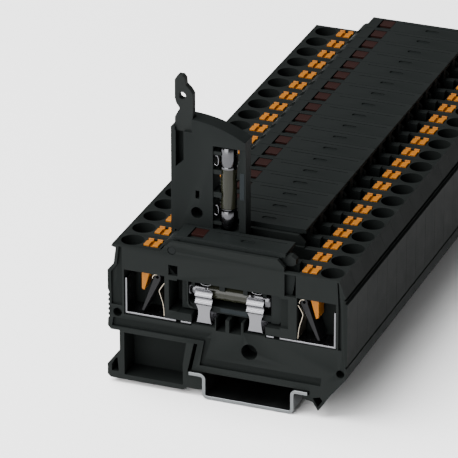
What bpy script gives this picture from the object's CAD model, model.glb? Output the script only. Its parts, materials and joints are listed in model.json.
import json
import math

import bmesh
import bpy
from mathutils import Matrix, Vector


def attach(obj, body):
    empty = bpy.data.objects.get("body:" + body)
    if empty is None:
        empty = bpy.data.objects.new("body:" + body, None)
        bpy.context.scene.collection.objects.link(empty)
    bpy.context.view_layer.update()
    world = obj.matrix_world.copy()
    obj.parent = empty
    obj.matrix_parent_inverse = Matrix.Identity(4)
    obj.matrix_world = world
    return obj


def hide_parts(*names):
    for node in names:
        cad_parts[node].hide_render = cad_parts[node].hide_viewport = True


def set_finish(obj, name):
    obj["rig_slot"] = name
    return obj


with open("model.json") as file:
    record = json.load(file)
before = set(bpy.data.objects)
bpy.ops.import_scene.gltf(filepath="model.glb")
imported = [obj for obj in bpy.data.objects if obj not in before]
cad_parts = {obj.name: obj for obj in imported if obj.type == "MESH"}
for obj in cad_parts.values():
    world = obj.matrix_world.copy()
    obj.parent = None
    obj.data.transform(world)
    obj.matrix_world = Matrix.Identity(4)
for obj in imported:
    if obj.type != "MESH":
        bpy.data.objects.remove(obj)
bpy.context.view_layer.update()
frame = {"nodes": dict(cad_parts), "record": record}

MM = 0.001
PITCH = 8.2 * MM
BLOCKS = 20
OPEN_BLOCK = 2
MID_Y = PITCH / 2
PIVOT = Vector((-22.7, 0, 43.4)) * MM
LEVER_TOP = 47.33
LEVER_ROOT_Z = 35.1
FUSE_X, FUSE_Z = -6.7, 31.25
FUSE_LEN, FUSE_R, CAP_LEN = 24.8, 2.5, 6.4
TAB_TRAVEL = 12.4
CLIP_LEFT_X, CLIP_RIGHT_X = -13.5, 1.6
SPRING_LEFT_X, SPRING_RIGHT_X, SPRING_Z = -27.5, 15.6, 33.8

NODE_BODY = {node: body for body, nodes in frame["record"]["behaviour"]["bodies"].items() for node in nodes}


# ---------------------------------------------------------------- materials

def material(name, colour, rough, metallic=0.0, grain=0.0, grain_scale=4000.0, mottle=0.1,
             wear=0.0, transmission=0.0, ior=1.5, specular=0.5, streak=(1, 1, 1)):
    """A Principled material with uneven colour, uneven gloss and a fine bump, in object space."""
    m = bpy.data.materials.new(name)
    m.use_nodes = True
    nodes, links = m.node_tree.nodes, m.node_tree.links
    shader = nodes["Principled BSDF"]
    shader.inputs["Metallic"].default_value = metallic
    shader.inputs["Transmission Weight"].default_value = transmission
    shader.inputs["Specular IOR Level"].default_value = specular
    shader.inputs["IOR"].default_value = ior
    place = nodes.new("ShaderNodeTexCoord")
    stretch = nodes.new("ShaderNodeMapping")
    stretch.inputs["Scale"].default_value = streak
    links.new(place.outputs["Object"], stretch.inputs["Vector"])

    def noise(scale, detail):
        n = nodes.new("ShaderNodeTexNoise")
        n.inputs["Scale"].default_value = scale
        n.inputs["Detail"].default_value = detail
        links.new(stretch.outputs["Vector"], n.inputs["Vector"])
        return n.outputs["Fac"]

    def ramp(source, low, high):
        r = nodes.new("ShaderNodeMapRange")
        r.inputs["To Min"].default_value = low
        r.inputs["To Max"].default_value = high
        links.new(source, r.inputs["Value"])
        return r.outputs["Result"]

    broad = noise(220.0, 3.0)
    fine = noise(grain_scale, 2.0)
    tint = nodes.new("ShaderNodeMix")
    tint.data_type = "RGBA"
    tint.inputs["A"].default_value = tuple(c * (1 - mottle) for c in colour) + (1,)
    tint.inputs["B"].default_value = tuple(min(1, c * (1 + mottle)) for c in colour) + (1,)
    links.new(broad, tint.inputs["Factor"])
    base = tint.outputs["Result"]
    if wear:
        edge = nodes.new("ShaderNodeNewGeometry")
        rub = nodes.new("ShaderNodeMapRange")
        rub.inputs["From Min"].default_value = 0.52
        rub.inputs["From Max"].default_value = 0.62
        rub.inputs["To Max"].default_value = wear
        links.new(edge.outputs["Pointiness"], rub.inputs["Value"])
        lift = nodes.new("ShaderNodeMix")
        lift.data_type = "RGBA"
        lift.inputs["B"].default_value = tuple(min(1, c * 2.2 + 0.01) for c in colour) + (1,)
        links.new(rub.outputs["Result"], lift.inputs["Factor"])
        links.new(base, lift.inputs["A"])
        base = lift.outputs["Result"]
    links.new(base, shader.inputs["Base Color"])
    links.new(ramp(broad, max(0.02, rough - 0.07), rough + 0.07), shader.inputs["Roughness"])
    if grain:
        bump = nodes.new("ShaderNodeBump")
        bump.inputs["Strength"].default_value = grain
        bump.inputs["Distance"].default_value = 0.00003
        links.new(fine, bump.inputs["Height"])
        links.new(bump.outputs["Normal"], shader.inputs["Normal"])
    return m


PLASTIC = material("moulded_plastic", (0.0053, 0.0063, 0.0060), 0.6, grain=0.3, wear=0.15,
                   specular=0.05, ior=1.35)
LEVER = material("lever_plastic", (0.0044, 0.0055, 0.0053), 0.54, grain=0.22, wear=0.1,
                 specular=0.09, ior=1.35)
TAB = material("tab_plastic", (0.0055, 0.0066, 0.0063), 0.55, grain=0.3, wear=0.1, specular=0.12, ior=1.35)
PIN = material("pin_plastic", (0.0040, 0.0050, 0.0050), 0.55, grain=0.2, specular=0.1, ior=1.35)
ORANGE = material("orange_plastic", (0.19, 0.062, 0.0008), 0.45, grain=0.15, mottle=0.08, wear=0.15,
                  specular=0.15)
TINNED = material("tinned_copper", (0.135, 0.135, 0.143), 0.25, metallic=1.0, grain=0.1, mottle=0.06)
BRIGHT_EDGE = material("strip_copper", (0.40, 0.35, 0.28), 0.35, metallic=1.0, grain=0.1, mottle=0.1)
SPRING = material("spring_steel", (0.005, 0.005, 0.0058), 0.42, metallic=0.2, grain=0.1, specular=0.15)
RAIL = material("zinc_plate", (0.125, 0.132, 0.136), 0.3, metallic=1.0, grain=0.12, mottle=0.08,
                grain_scale=900.0, streak=(1, 0.05, 1))
NICKEL = material("nickel_cap", (0.06, 0.06, 0.064), 0.17, metallic=1.0, grain=0.05, mottle=0.06)
GLASS = material("fuse_glass", (0.010, 0.0105, 0.0065), 0.16, transmission=0.05, mottle=0.05, ior=1.45,
                 specular=0.22)
WIRE = material("fuse_element", (0.35, 0.33, 0.28), 0.35, metallic=1.0)
LENS = material("lens_red", (0.010, 0.0034, 0.0028), 0.4, mottle=0.3, specular=0.07)
BLUE = material("indicator_window", (0.0022, 0.0045, 0.0058), 0.3, specular=0.12)

SLOT_LOOKS = {
    "black_plastic": PLASTIC, "lever_plastic": LEVER, "tab_plastic": TAB, "pin_plastic": PIN,
    "orange_plastic": ORANGE, "bright_steel": TINNED, "spring_steel": SPRING, "rail_steel": RAIL,
    "cap_metal": NICKEL, "fuse_glass": GLASS, "fuse_element": WIRE, "lens_red": LENS,
}
NODE_SLOT = {part["node"]: part["material_slot"] for part in frame["record"]["subparts"]}


# ---------------------------------------------------------------- mesh tools

def new_piece(name, mesh, slot, look=None):
    """A new object with a finish; it still has to ride on a body."""
    piece = bpy.data.objects.new(name, mesh)
    bpy.context.collection.objects.link(piece)
    if not mesh.materials:
        mesh.materials.append(look or SLOT_LOOKS[slot])
    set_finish(piece, slot)
    return piece


def finish_mesh(bm, name, smooth_angle=35):
    """Turns a bmesh into a mesh with smooth faces and sharp edges over an angle."""
    bmesh.ops.recalc_face_normals(bm, faces=bm.faces)
    for face in bm.faces:
        face.smooth = True
    for edge in bm.edges:
        edge.smooth = len(edge.link_faces) == 2 and edge.calc_face_angle(0) < math.radians(smooth_angle)
    mesh = bpy.data.meshes.new(name)
    bm.to_mesh(mesh)
    bm.free()
    return mesh


def baked(piece):
    """Applies a piece's modifiers."""
    seen = bpy.context.evaluated_depsgraph_get()
    mesh = bpy.data.meshes.new_from_object(piece.evaluated_get(seen))
    mesh.name = piece.data.name
    piece.modifiers.clear()
    piece.data = mesh


def round_edges(piece, width, segments=2, angle=32):
    """Small radii on the sharp edges, as a mould leaves them."""
    bevel = piece.modifiers.new("radius", "BEVEL")
    bevel.width = width * MM
    bevel.segments = segments
    bevel.limit_method = "ANGLE"
    bevel.angle_limit = math.radians(angle)
    bevel.harden_normals = True
    bevel.use_clamp_overlap = True
    baked(piece)


def clean_copy(node):
    """A welded copy of a CAD node's mesh with its flat faces joined up."""
    bm = bmesh.new()
    bm.from_mesh(frame["nodes"][node].data)
    bmesh.ops.remove_doubles(bm, verts=bm.verts, dist=2e-6)
    bmesh.ops.dissolve_limit(bm, angle_limit=math.radians(0.5), verts=bm.verts, edges=bm.edges)
    return finish_mesh(bm, node + "_soft", 32)


def soften(node, width):
    """Replaces a CAD node by the same shape with rounded edges."""
    piece = new_piece(node + "_shape", clean_copy(node), NODE_SLOT[node])
    round_edges(piece, width)
    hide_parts(node)
    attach(piece, NODE_BODY[node])


def extrude(bm, ring, vec):
    """Makes a face of a ring of vertices and draws it out along a vector."""
    made = bmesh.ops.extrude_face_region(bm, geom=[bm.faces.new(ring)])
    bmesh.ops.translate(bm, verts=[v for v in made["geom"] if isinstance(v, bmesh.types.BMVert)], vec=vec)


def prism(name, outline, y0, y1, slot, width=0.08, look=None):
    """A plate cut to an outline in X and Z, from depth y0 to y1, in millimetres."""
    bm = bmesh.new()
    extrude(bm, [bm.verts.new((x * MM, y0 * MM, z * MM)) for x, z in outline], (0, (y1 - y0) * MM, 0))
    piece = new_piece(name, finish_mesh(bm, name, 30), slot, look)
    if width:
        round_edges(piece, width)
    return piece


def lathe(name, profile, centre, slot, sides=40):
    """A body turned about an axis along X; the profile lists (x, radius) in millimetres."""
    bm = bmesh.new()
    rings = []
    for x, radius in profile:
        rings.append([bm.verts.new((x * MM, MM * (centre[0] + radius * math.cos(a)),
                                    MM * (centre[1] + radius * math.sin(a))))
                      for a in (2 * math.pi * i / sides for i in range(sides))])
    for a, b in zip(rings, rings[1:] + rings[:1]):
        for i in range(sides):
            bm.faces.new((a[i], a[(i + 1) % sides], b[(i + 1) % sides], b[i]))
    return new_piece(name, finish_mesh(bm, name, 40), slot)


def wire_curve(name, points, radius, slot):
    """A round wire along smooth points, as a mesh."""
    curve = bpy.data.curves.new(name, "CURVE")
    curve.dimensions = "3D"
    curve.bevel_depth = radius * MM
    curve.bevel_resolution = 3
    curve.use_fill_caps = True
    spline = curve.splines.new("NURBS")
    spline.points.add(len(points) - 1)
    for p, spot in zip(spline.points, points):
        p.co = (*(c * MM for c in spot), 1)
    spline.use_endpoint_u = True
    spline.order_u = 3
    spline.resolution_u = 6
    temp = bpy.data.objects.new(name, curve)
    bpy.context.collection.objects.link(temp)
    mesh = bpy.data.meshes.new_from_object(temp.evaluated_get(bpy.context.evaluated_depsgraph_get()))
    bpy.data.objects.remove(temp)
    bm = bmesh.new()
    bm.from_mesh(mesh)
    bmesh.ops.remove_doubles(bm, verts=bm.verts, dist=1e-7)
    return new_piece(name, finish_mesh(bm, name, 50), slot)


def smooth_line(points, steps=5):
    """Points along a Catmull-Rom curve through the given ones."""
    line = []
    points = [tuple(p) for p in points]
    padded = [points[0]] + points + [points[-1]]
    for i in range(1, len(padded) - 2):
        p0, p1, p2, p3 = (Vector(p) for p in padded[i - 1:i + 3])
        for s in range(steps):
            t = s / steps
            line.append(tuple(0.5 * (2 * p1 + (p2 - p0) * t + (2 * p0 - 5 * p1 + 4 * p2 - p3) * t * t
                                     + (3 * p1 - p0 - 3 * p2 + p3) * t ** 3)))
    return line + [points[-1]]


def joined(name, pieces):
    """Several pieces of one finish joined into one object."""
    with bpy.context.temp_override(active_object=pieces[0], selected_editable_objects=pieces):
        bpy.ops.object.join()
    pieces[0].name = name
    return pieces[0]


# ---------------------------------------------------------------- placing

def at_block(piece, number, raised=False, slide=0.0):
    """Moves a piece drawn in a closed first block to another block, or onto its raised lever."""
    turn = Matrix.Identity(4)
    if raised:
        turn = Matrix.Translation(PIVOT) @ Matrix.Rotation(-math.pi / 2, 4, "Y") @ Matrix.Translation(-PIVOT)
    along = Matrix.Translation((0, (number - 1) * PITCH, 0))
    piece.matrix_world = along @ turn @ Matrix.Translation((slide, 0, 0))


def lever_body(number):
    return f"lever_{number:02d}"


# ---------------------------------------------------------------- fuse

def fuse_pieces():
    """The glass fuse of the first lever: caps, tube and wire."""
    x0, x1 = FUSE_X - FUSE_LEN / 2, FUSE_X + FUSE_LEN / 2
    axis = (MID_Y / MM, FUSE_Z)
    r, wall = FUSE_R, 0.2

    def cap(name, end, way):
        steps = [(0, 0.0), (0, r - 0.5), (0.12, r - 0.18), (0.45, r), (CAP_LEN - 0.9, r),
                 (CAP_LEN - 0.7, r - 0.1), (CAP_LEN - 0.5, r), (CAP_LEN, r - 0.02), (CAP_LEN, r - wall),
                 (0.4, r - wall), (0.4, 0.0)]
        profile = [(end + way * step, radius) for step, radius in steps]
        return lathe(name, profile, axis, "cap_metal")

    caps = joined("fuse_caps", [cap("cap_a", x0, 1), cap("cap_b", x1, -1)])
    tube = lathe("fuse_tube", [(x0 + 0.5, r - 0.25), (x1 - 0.5, r - 0.25), (x1 - 0.5, r - 0.85),
                               (x0 + 0.5, r - 0.85)], axis, "fuse_glass")
    y, z = axis
    path = [(x0 + 0.5, y + 0.9, z + 0.9), (x0 + 5, y + 0.4, z + 0.4), (FUSE_X, y, z - 0.3),
            (x1 - 5, y - 0.4, z - 0.4), (x1 - 0.5, y - 0.9, z - 0.9)]
    wire = wire_curve("fuse_wire", path, 0.12, "fuse_element")
    return caps, tube, wire


# ---------------------------------------------------------------- lever details

def saddle(name, x0, x1):
    """A rib across the lever that the fuse lies against."""
    bm = bmesh.new()
    y_mid, z_mid, reach = MID_Y / MM, FUSE_Z, FUSE_R + 0.12
    half, root = 2.3, LEVER_ROOT_Z
    arc = [(y_mid + reach * math.cos(a), z_mid + reach * math.sin(a))
           for a in (math.radians(150 - 12 * i) for i in range(11))]
    outline = [(y_mid - half, root), (y_mid - half, arc[0][1])] + arc
    outline += [(y_mid + half, arc[-1][1]), (y_mid + half, root)]
    extrude(bm, [bm.verts.new((x0 * MM, y * MM, z * MM)) for y, z in outline], ((x1 - x0) * MM, 0, 0))
    piece = new_piece(name, finish_mesh(bm, name, 25), "lever_plastic")
    round_edges(piece, 0.06)
    return piece


def contact_loop(name, x):
    """A bright wire that comes from the lever, runs along beside a fuse cap and goes back."""
    y_front, z_near, z_far = MID_Y / MM - 2.1, 34.9, 33.5
    half = [(0.9, y_front + 0.8, LEVER_ROOT_Z), (1.1, y_front + 0.2, z_near), (1.6, y_front, z_far + 0.5),
            (1.0, y_front - 0.1, z_far)]
    points = [(x - dx, y, z) for dx, y, z in half] + [(x + dx, y, z) for dx, y, z in half[::-1]]
    return wire_curve(name, points, 0.13, "bright_steel")


def lens(name):
    """The indicator's window: a ribbed cover in the lever's pocket."""
    x0, x1, y0, y1 = -18.85, -14.85, 4.7, 8.75
    top = LEVER_TOP - 0.18
    ribs = 6
    outline = [(x0, top - 0.7)]
    for i in range(ribs):
        left = x0 + (x1 - x0) * i / ribs
        step = (x1 - x0) / ribs
        crown = ((0.12, 0.06), (0.5, 0), (0.88, 0.06))
        outline += [(left + share * step, top - drop) for share, drop in crown]
    outline += [(x1, top - 0.7)]
    return prism(name, outline[::-1], y0, y1, "lens_red", width=0.05)


def lever_trim():
    """Ribs, wires and the small window that every lever carries; drawn on the first lever."""
    plastic = joined("lever_saddles", [saddle("saddle_a", -2.4, -1.1), saddle("saddle_b", -9.4, -7.8),
                                       saddle("saddle_c", -17.6, -16.6), saddle("saddle_d", 3.4, 4.4)])
    wires = joined("lever_contacts", [contact_loop("loop_a", -13.4), contact_loop("loop_b", 1.6)])
    window = prism("lever_window", [(-9.2, 26.0), (-1.2, 26.0), (-1.2, 27.3), (-9.2, 27.3)], 2.0, 2.3,
                   "lens_red", width=0.06, look=BLUE)
    return [plastic, wires, window]


def dress_levers():
    """Every lever gets the same shape, fuse, lens and trim, and two get a tab; all share the first one's meshes."""
    shape = new_piece("lever_shape_01", clean_copy("fuse_lever_01"), "lever_plastic")
    round_edges(shape, 0.14)
    tab = new_piece("tab_shape_01", clean_copy("pull_tab_01"), "tab_plastic")
    round_edges(tab, 0.22)
    caps, tube, wire = fuse_pieces()
    glow = lens("lens_shape_01")
    parts = {"shape": (shape, "fuse_lever"), "caps": (caps, "fuse_caps"), "tube": (tube, "fuse_tube"),
             "wire": (wire, "fuse_wire"), "lens": (glow, "indicator_lens")}
    for i, piece in enumerate(lever_trim()):
        parts[f"trim_{i}"] = (piece, None)
    for number in range(1, BLOCKS + 1):
        raised = number == OPEN_BLOCK
        for key, (model, node) in parts.items():
            piece = model
            if number > 1:
                twin_name = f"{model.name.removesuffix('_01')}_{number:02d}"
                piece = new_piece(twin_name, model.data, model["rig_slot"])
            at_block(piece, number, raised)
            stands_for = f"{node}_{number:02d}"
            if node and stands_for in NODE_BODY:
                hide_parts(stands_for)
            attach(piece, lever_body(number))
        if number <= OPEN_BLOCK:
            piece = tab if number == 1 else new_piece("tab_shape_02", tab.data, "tab_plastic")
            at_block(piece, number, raised, TAB_TRAVEL * MM if raised else 0.0)
            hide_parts(f"pull_tab_{number:02d}")
            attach(piece, f"tab_{number:02d}")


# ---------------------------------------------------------------- block metal

def fuse_clip_mesh(name):
    """One clip, standing at x = 0: two prongs rolled at the top, and a foot between them."""
    foot_z, y_front, y_back, sheet = 22.3, 1.05, 7.15, 0.34
    # height above the foot, half width, lean away from the fuse
    rows = smooth_line([(0.0, 2.2, 0.0), (2.4, 1.75, 0.0), (4.3, 1.8, 0.0), (5.6, 2.35, 0.05),
                        (6.4, 2.5, 0.62), (7.2, 2.5, 0.0), (7.9, 2.5, 0.1), (8.6, 2.5, 0.66),
                        (9.4, 2.5, 0.0), (10.1, 2.5, 0.15), (10.8, 2.35, 0.66)], 4)
    bm = bmesh.new()
    for y, way in ((y_front, -1), (y_back, 1)):
        previous = None
        for high, half, lean in rows:
            inner = y + way * lean * (1 if way < 0 else 0.1)
            ring = [bm.verts.new((x * MM, d * MM, (foot_z + high) * MM))
                    for x, d in ((-half, inner), (half, inner), (half, inner + way * sheet),
                                 (-half, inner + way * sheet))]
            if previous:
                for i in range(4):
                    bm.faces.new((previous[i], previous[(i + 1) % 4], ring[(i + 1) % 4], ring[i]))
            else:
                bm.faces.new(ring)
            previous = ring
        bm.faces.new(previous)
    foot = [(-2.2, y_front - sheet, foot_z), (2.2, y_front - sheet, foot_z),
            (2.2, y_back + sheet, foot_z), (-2.2, y_back + sheet, foot_z)]
    extrude(bm, [bm.verts.new(Vector(p) * MM) for p in foot], (0, 0, sheet * MM))
    return finish_mesh(bm, name, 60)


def dress_clips():
    """Two clips in each of the first two blocks, in place of their CAD nodes."""
    mesh = fuse_clip_mesh("fuse_clip")
    places = [("clip_left", CLIP_LEFT_X, 1, "fuse_clip_left"),
              ("clip_right", CLIP_RIGHT_X, 1, "fuse_clip_right"),
              ("clip_left_02", CLIP_LEFT_X, 2, "fuse_clips_02"),
              ("clip_right_02", CLIP_RIGHT_X, 2, None)]
    first = None
    for name, x, number, node in places:
        piece = new_piece(name, mesh if first is None else first.data, "bright_steel")
        if first is None:
            first = piece
            round_edges(piece, 0.06, 2, 50)
        piece.location = (x * MM, (number - 1) * PITCH, 0)
        if node:
            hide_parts(node)
        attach(piece, "base")


def sheet_strip(name, points, node=None):
    """A bent strip of thin sheet that follows points in X and Z; it may stand for a CAD node."""
    bm = bmesh.new()
    rows = []
    for x, z in points:
        rows.append([bm.verts.new((x * MM, y * MM, z * MM)) for y in (0.5, 6.7)])
    for a, b in zip(rows, rows[1:]):
        bm.faces.new((a[0], a[1], b[1], b[0]))
    mesh = finish_mesh(bm, name, 60)
    piece = new_piece(name, mesh, "bright_steel", BRIGHT_EDGE)
    sheet = piece.modifiers.new("sheet", "SOLIDIFY")
    sheet.thickness = 0.16 * MM
    sheet.offset = 0
    baked(piece)
    round_edges(piece, 0.03, 1, 50)
    if node:
        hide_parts(node)
    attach(piece, "base")


def dress_strips():
    """The contact strips, and the rolled top of each clamp spring, in the first block."""
    left = [(-25.2, 22.7), (-25.35, 25), (-25.6, 26.6), (-26.2, 28.6), (-26.6, 29.8), (-26.45, 30.6),
            (-24.95, 33.0)]
    right = [(14.1, 22.8), (14.3, 25), (14.6, 26.8), (15.2, 28.9), (15.5, 30.1), (15.35, 30.9), (14.15, 33.0)]
    sheet_strip("strip_left", smooth_line(left), "contact_strip_left")
    sheet_strip("strip_right", smooth_line(right), "contact_strip_right")
    curl = 1.12
    for side, x in (("left", SPRING_LEFT_X), ("right", SPRING_RIGHT_X)):
        arc = [(x + curl * math.cos(a), SPRING_Z + curl * math.sin(a))
               for a in (math.radians(75 + 10.5 * i) for i in range(12))]
        sheet_strip(f"spring_band_{side}", arc)


def guide_rib():
    """The bent guide rib beside the left clip, moulded to the front wall."""
    line = smooth_line([(-18.2, 35.2), (-18.2, 31), (-18.1, 28.4), (-17.6, 27.3), (-16.6, 26.9)])
    bm = bmesh.new()
    rows = [[bm.verts.new((x * MM, y * MM, z * MM)) for y in (0.15, 1.2)] for x, z in line]
    for a, b in zip(rows, rows[1:]):
        bm.faces.new((a[0], a[1], b[1], b[0]))
    piece = new_piece("guide_rib", finish_mesh(bm, "guide_rib", 60), "black_plastic")
    wall = piece.modifiers.new("wall", "SOLIDIFY")
    wall.thickness = 0.45 * MM
    wall.offset = 0
    baked(piece)
    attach(piece, "base")


# ---------------------------------------------------------------- the rest of the row

def spacer_ribs():
    """A low rib on each housing's back wall that closes the seam to the next block."""
    x0, x1, z0, z1 = 17.6, 18.6, 9.6, 42.2
    thick, bite = 0.09, 0.07
    ribs = []
    for number in range(1, BLOCKS):
        y = number * PITCH / MM - bite
        ribs.append(prism(f"spacer_{number:02d}", [(x0, z0), (x1, z0), (x1, z1), (x0, z1)],
                          y, y + thick, "black_plastic", width=0))
    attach(joined("spacer_ribs", ribs), "base")


def dress_housings():
    for node in ("housing_01", "housing_02", "housings_rear"):
        soften(node, 0.16)
    spacer_ribs()
    for node in ("hinge_pin_01", "hinge_pin_02", "hinge_pins_rear"):
        soften(node, 0.2)


def dress_buttons():
    for node in NODE_BODY:
        if node.startswith("push_button"):
            soften(node, 0.14)


def dress_metal():
    soften("din_rail", 0.12)
    for node in ("current_bar_left", "current_bar_right", "bar_end_left", "bar_end_right"):
        soften(node, 0.1)
    for node in ("clamp_spring_left", "clamp_spring_right"):
        soften(node, 0.08)


# ---------------------------------------------------------------- studio

def floor():
    """A wide, flat, pale floor under the object."""
    reach = 3.0
    bm = bmesh.new()
    bmesh.ops.create_grid(bm, x_segments=4, y_segments=4, size=reach)
    plane = bpy.data.objects.new("floor", finish_mesh(bm, "floor"))
    bpy.context.collection.objects.link(plane)
    plane.location = (0, 0, -0.0002)
    paint = bpy.data.materials.new("paper")
    paint.use_nodes = True
    paint.node_tree.nodes["Principled BSDF"].inputs["Base Color"].default_value = (0.97, 0.97, 0.97, 1)
    paint.node_tree.nodes["Principled BSDF"].inputs["Roughness"].default_value = 0.9
    plane.data.materials.append(paint)


def area_light(name, spot, aim, size, power):
    data = bpy.data.lights.new(name, "AREA")
    data.size = size
    data.energy = power
    light = bpy.data.objects.new(name, data)
    bpy.context.collection.objects.link(light)
    light.location = spot
    light.rotation_euler = (Vector(aim) - Vector(spot)).to_track_quat("-Z", "Y").to_euler()


def studio():
    world = bpy.data.worlds.new("studio")
    world.use_nodes = True
    world.node_tree.nodes["Background"].inputs["Color"].default_value = (1, 1, 1, 1)
    world.node_tree.nodes["Background"].inputs["Strength"].default_value = 0.3
    bpy.context.scene.world = world
    middle = (0, 0.06, 0.03)
    area_light("overhead", (-0.7, -0.2, 1.35), middle, 1.5, 92)
    area_light("front", (-0.35, -1.3, 0.45), middle, 1.2, 42)


def camera():
    data = bpy.data.cameras.new("camera")
    data.lens = 369.03
    data.sensor_width = 36
    data.clip_end = 20
    view = bpy.data.objects.new("camera", data)
    bpy.context.collection.objects.link(view)
    view.location = (0.406999, -1.074235, 0.604520)
    view.rotation_euler = (math.radians(64.389), 0, math.radians(21.022))
    bpy.context.scene.camera = view


camera()
studio()
floor()
dress_housings()
dress_metal()
dress_buttons()
dress_clips()
dress_strips()
guide_rib()
dress_levers()
